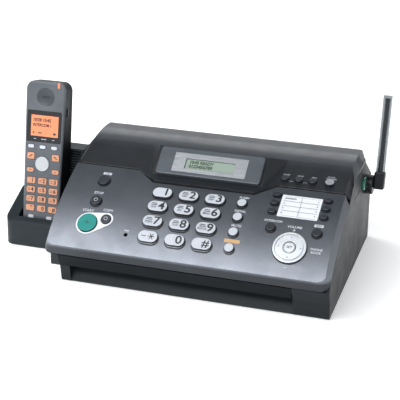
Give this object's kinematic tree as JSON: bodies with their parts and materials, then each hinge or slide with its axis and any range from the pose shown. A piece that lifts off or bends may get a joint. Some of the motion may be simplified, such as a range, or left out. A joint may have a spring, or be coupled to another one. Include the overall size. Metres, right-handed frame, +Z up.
{
  "type": "fax machine",
  "caption": "Thermal-paper desk fax machine with a sloping key panel, tilted display, hinged covers, a side cradle holding a cordless handset, and a folding antenna.",
  "frame": {"origin": "middle of the whole outline, on the table", "axes": "+X to the user's right, +Y away from the user, +Z up"},
  "size_m": [0.39, 0.2122, 0.1715],
  "materials": {
    "antenna_metal": "drawn rod",
    "band_grey": "fine moulded texture",
    "battery_sleeve": "shrink sleeve",
    "bezel_grey": "satin metallic paint",
    "black_plastic": "fine moulded texture",
    "board_green": "solder mask",
    "cabinet_grey": "fine moulded texture",
    "card_white": "printed card under clear film",
    "clear_sleeve": "clear smoky tube",
    "contact_metal": "plated spring strip",
    "cover_grey": "satin moulded plastic with a fine metallic fleck",
    "cradle_grey": "fine moulded texture",
    "display_glass": "grey-green liquid crystal under clear film",
    "frame_plastic": "moulded",
    "gear_plastic": "natural acetal",
    "handset_dark": "fine moulded texture",
    "handset_grey": "satin metallic paint",
    "handset_key_orange": "translucent lit key",
    "handset_nav_silver": "satin metal",
    "head_ceramic": "glazed heating bar",
    "key_dark": "smooth moulded key",
    "key_green": "translucent moulded key",
    "key_light": "smooth moulded key",
    "key_white": "smooth moulded key",
    "panel_grey": "satin metallic paint, lighter towards the front",
    "paper": "thermal paper",
    "plate_silver": "brushed sheet",
    "release_green": "glossy moulded button",
    "ring_silver": "satin silver",
    "rubber": "matte",
    "steel": "zinc plated",
    "window_black": "glossy black window"
  },
  "bodies": {
    "cabinet": {"lower_cabinet": "cabinet_grey", "exit_band": "band_grey", "rubber_feet": "rubber", "case_screws": "steel", "side_frames": "frame_plastic", "document_chute": "frame_plastic", "thermal_head": "head_ceramic", "main_board": "board_green", "drive_motor": "steel", "rear_deck": "cabinet_grey", "rear_sockets": "black_plastic", "speaker": "black_plastic", "handset_cradle": "cradle_grey", "charge_contacts": "contact_metal", "antenna_base": "black_plastic"},
    "lid": {"top_cover": "cover_grey", "display_bezel": "bezel_grey", "display_plate": "plate_silver", "display_module": "display_glass"},
    "panel": {"front_cover": "panel_grey", "directory_card": "card_white"},
    "antenna": {"antenna_elbow": "black_plastic", "antenna_rod": "antenna_metal", "antenna_sleeve": "clear_sleeve"},
    "handset": {"handset_front": "handset_grey", "handset_back": "handset_dark", "handset_window": "window_black", "handset_battery": "battery_sleeve"},
    "handset_nav": {"handset_navigator": "handset_nav_silver"},
    "handset_pad": {"handset_keys": "handset_key_orange"},
    "platen": {"platen_roller": "rubber", "platen_gear": "gear_plastic"},
    "pinch": {"pinch_roller": "rubber"},
    "roll": {"paper_roll": "paper"},
    "pinion": {"motor_pinion": "gear_plastic"},
    "idler": {"idler_gear": "gear_plastic"},
    "guide_left": {"document_guide_left": "band_grey"},
    "guide_right": {"document_guide_right": "band_grey"},
    "release": {"release_button": "release_green"},
    "key_star_body": {"key_star": "key_white"},
    "key_0_body": {"key_0": "key_white"},
    "key_hash_body": {"key_hash": "key_white"},
    "key_7_body": {"key_7": "key_white"},
    "key_8_body": {"key_8": "key_white"},
    "key_9_body": {"key_9": "key_white"},
    "key_4_body": {"key_4": "key_white"},
    "key_5_body": {"key_5": "key_white"},
    "key_6_body": {"key_6": "key_white"},
    "key_1_body": {"key_1": "key_white"},
    "key_2_body": {"key_2": "key_white"},
    "key_3_body": {"key_3": "key_white"},
    "start_key_body": {"start_key": "key_green"},
    "copy_key_body": {"copy_key": "key_dark"},
    "stop_key_body": {"stop_key": "key_dark"},
    "locator_key_body": {"locator_key": "key_dark"},
    "navigator_ring_body": {"navigator_ring": "ring_silver"},
    "set_key_body": {"set_key": "ring_silver"},
    "function_keys_body": {"function_keys": "key_white"},
    "memory_keys_body": {"memory_keys": "key_dark"},
    "answering_keys_body": {"answering_keys": "key_light"}
  },
  "joints": [
    {"name": "lid_hinge", "type": "hinge", "parent": "cabinet", "child": "lid", "pos_m": [0.0306, 0.06659, 0.1035], "axis": [-1, 0, 0], "range_deg": [0, 60]},
    {"name": "panel_hinge", "type": "hinge", "parent": "cabinet", "child": "panel", "pos_m": [0.0306, -0.01141, 0.093], "axis": [-1, 0, 0], "range_deg": [0, 35]},
    {"name": "handset_lift", "type": "slide", "parent": "cabinet", "child": "handset", "axis": [0, 0.225, 0.9744], "range_m": [0, 0.16]},
    {"name": "antenna_hinge", "type": "hinge", "parent": "cabinet", "child": "antenna", "pos_m": [0.1756, 0.07299, 0.0748], "axis": [-1, 0, 0], "range_deg": [-90, 60]},
    {"name": "platen_spin", "type": "hinge", "parent": "cabinet", "child": "platen", "pos_m": [0.0306, 0.00459, 0.07], "axis": [1, 0, 0], "continuous": true},
    {"name": "idler_spin", "type": "hinge", "parent": "cabinet", "child": "idler", "pos_m": [0.0306, 0.01599, 0.0489], "axis": [1, 0, 0], "continuous": true},
    {"name": "pinion_spin", "type": "hinge", "parent": "cabinet", "child": "pinion", "pos_m": [0.0306, -0.00041, 0.0416], "axis": [1, 0, 0], "continuous": true},
    {"name": "pinch_spin", "type": "hinge", "parent": "cabinet", "child": "pinch", "pos_m": [0.0306, 0.04159, 0.1032], "axis": [1, 0, 0], "continuous": true},
    {"name": "roll_spin", "type": "hinge", "parent": "cabinet", "child": "roll", "pos_m": [0.0306, 0.03059, 0.042], "axis": [1, 0, 0], "continuous": true},
    {"name": "guide_left_slide", "type": "slide", "parent": "cabinet", "child": "guide_left", "axis": [1, 0, 0], "range_m": [-0.007, 0.055]},
    {"name": "guide_right_slide", "type": "slide", "parent": "cabinet", "child": "guide_right", "axis": [1, 0, 0], "range_m": [-0.055, 0.007]},
    {"name": "release_press", "type": "slide", "parent": "cabinet", "child": "release", "axis": [-1, 0, 0], "range_m": [0, 0.002], "stiffness_N_per_m": 800, "springref_m": -0.0005},
    {"name": "handset_nav_press", "type": "slide", "parent": "handset", "child": "handset_nav", "axis": [0, 0.9744, -0.225], "range_m": [0, 0.0006], "stiffness_N_per_m": 400, "springref_m": -0.0003},
    {"name": "handset_pad_press", "type": "slide", "parent": "handset", "child": "handset_pad", "axis": [0, 0.9744, -0.225], "range_m": [0, 0.0006], "stiffness_N_per_m": 400, "springref_m": -0.0003},
    {"name": "key_star_press", "type": "slide", "parent": "panel", "child": "key_star_body", "axis": [0, 0.639, -0.7692], "range_m": [0, 0.001], "stiffness_N_per_m": 400, "springref_m": -0.0003},
    {"name": "key_0_press", "type": "slide", "parent": "panel", "child": "key_0_body", "axis": [0, 0.639, -0.7692], "range_m": [0, 0.001], "stiffness_N_per_m": 400, "springref_m": -0.0003},
    {"name": "key_hash_press", "type": "slide", "parent": "panel", "child": "key_hash_body", "axis": [0, 0.639, -0.7692], "range_m": [0, 0.001], "stiffness_N_per_m": 400, "springref_m": -0.0003},
    {"name": "key_7_press", "type": "slide", "parent": "panel", "child": "key_7_body", "axis": [0, 0.5758, -0.8176], "range_m": [0, 0.001], "stiffness_N_per_m": 400, "springref_m": -0.0003},
    {"name": "key_8_press", "type": "slide", "parent": "panel", "child": "key_8_body", "axis": [0, 0.5758, -0.8176], "range_m": [0, 0.001], "stiffness_N_per_m": 400, "springref_m": -0.0003},
    {"name": "key_9_press", "type": "slide", "parent": "panel", "child": "key_9_body", "axis": [0, 0.5758, -0.8176], "range_m": [0, 0.001], "stiffness_N_per_m": 400, "springref_m": -0.0003},
    {"name": "key_4_press", "type": "slide", "parent": "panel", "child": "key_4_body", "axis": [0, 0.5089, -0.8608], "range_m": [0, 0.001], "stiffness_N_per_m": 400, "springref_m": -0.0003},
    {"name": "key_5_press", "type": "slide", "parent": "panel", "child": "key_5_body", "axis": [0, 0.5089, -0.8608], "range_m": [0, 0.001], "stiffness_N_per_m": 400, "springref_m": -0.0003},
    {"name": "key_6_press", "type": "slide", "parent": "panel", "child": "key_6_body", "axis": [0, 0.5089, -0.8608], "range_m": [0, 0.001], "stiffness_N_per_m": 400, "springref_m": -0.0003},
    {"name": "key_1_press", "type": "slide", "parent": "panel", "child": "key_1_body", "axis": [0, 0.4388, -0.8986], "range_m": [0, 0.001], "stiffness_N_per_m": 400, "springref_m": -0.0003},
    {"name": "key_2_press", "type": "slide", "parent": "panel", "child": "key_2_body", "axis": [0, 0.4388, -0.8986], "range_m": [0, 0.001], "stiffness_N_per_m": 400, "springref_m": -0.0003},
    {"name": "key_3_press", "type": "slide", "parent": "panel", "child": "key_3_body", "axis": [0, 0.4388, -0.8986], "range_m": [0, 0.001], "stiffness_N_per_m": 400, "springref_m": -0.0003},
    {"name": "start_key_press", "type": "slide", "parent": "panel", "child": "start_key_body", "axis": [0, 0.6177, -0.7865], "range_m": [0, 0.001], "stiffness_N_per_m": 400, "springref_m": -0.0003},
    {"name": "copy_key_press", "type": "slide", "parent": "panel", "child": "copy_key_body", "axis": [0, 0.5935, -0.8048], "range_m": [0, 0.001], "stiffness_N_per_m": 400, "springref_m": -0.0003},
    {"name": "stop_key_press", "type": "slide", "parent": "panel", "child": "stop_key_body", "axis": [0, 0.5169, -0.8561], "range_m": [0, 0.001], "stiffness_N_per_m": 400, "springref_m": -0.0003},
    {"name": "locator_key_press", "type": "slide", "parent": "panel", "child": "locator_key_body", "axis": [0, 0.4088, -0.9126], "range_m": [0, 0.001], "stiffness_N_per_m": 400, "springref_m": -0.0003},
    {"name": "navigator_ring_press", "type": "slide", "parent": "panel", "child": "navigator_ring_body", "axis": [0, 0.609, -0.7932], "range_m": [0, 0.0008], "stiffness_N_per_m": 400, "springref_m": -0.0003},
    {"name": "set_key_press", "type": "slide", "parent": "panel", "child": "set_key_body", "axis": [0, 0.609, -0.7932], "range_m": [0, 0.001], "stiffness_N_per_m": 400, "springref_m": -0.0003},
    {"name": "function_keys_press", "type": "slide", "parent": "panel", "child": "function_keys_body", "axis": [0, 0.5428, -0.8399], "range_m": [0, 0.001], "stiffness_N_per_m": 400, "springref_m": -0.0003},
    {"name": "memory_keys_press", "type": "slide", "parent": "panel", "child": "memory_keys_body", "axis": [0, 0.4511, -0.8924], "range_m": [0, 0.001], "stiffness_N_per_m": 400, "springref_m": -0.0003},
    {"name": "answering_keys_press", "type": "slide", "parent": "lid", "child": "answering_keys_body", "axis": [0, 0.2753, -0.9614], "range_m": [0, 0.001], "stiffness_N_per_m": 400, "springref_m": -0.0003}
  ],
  "couplings": [
    {"joint": "idler_spin", "follows": "platen_spin", "ratio": -0.71429},
    {"joint": "pinion_spin", "follows": "platen_spin", "ratio": 2.5},
    {"joint": "guide_right_slide", "follows": "guide_left_slide", "ratio": -1}
  ]
}
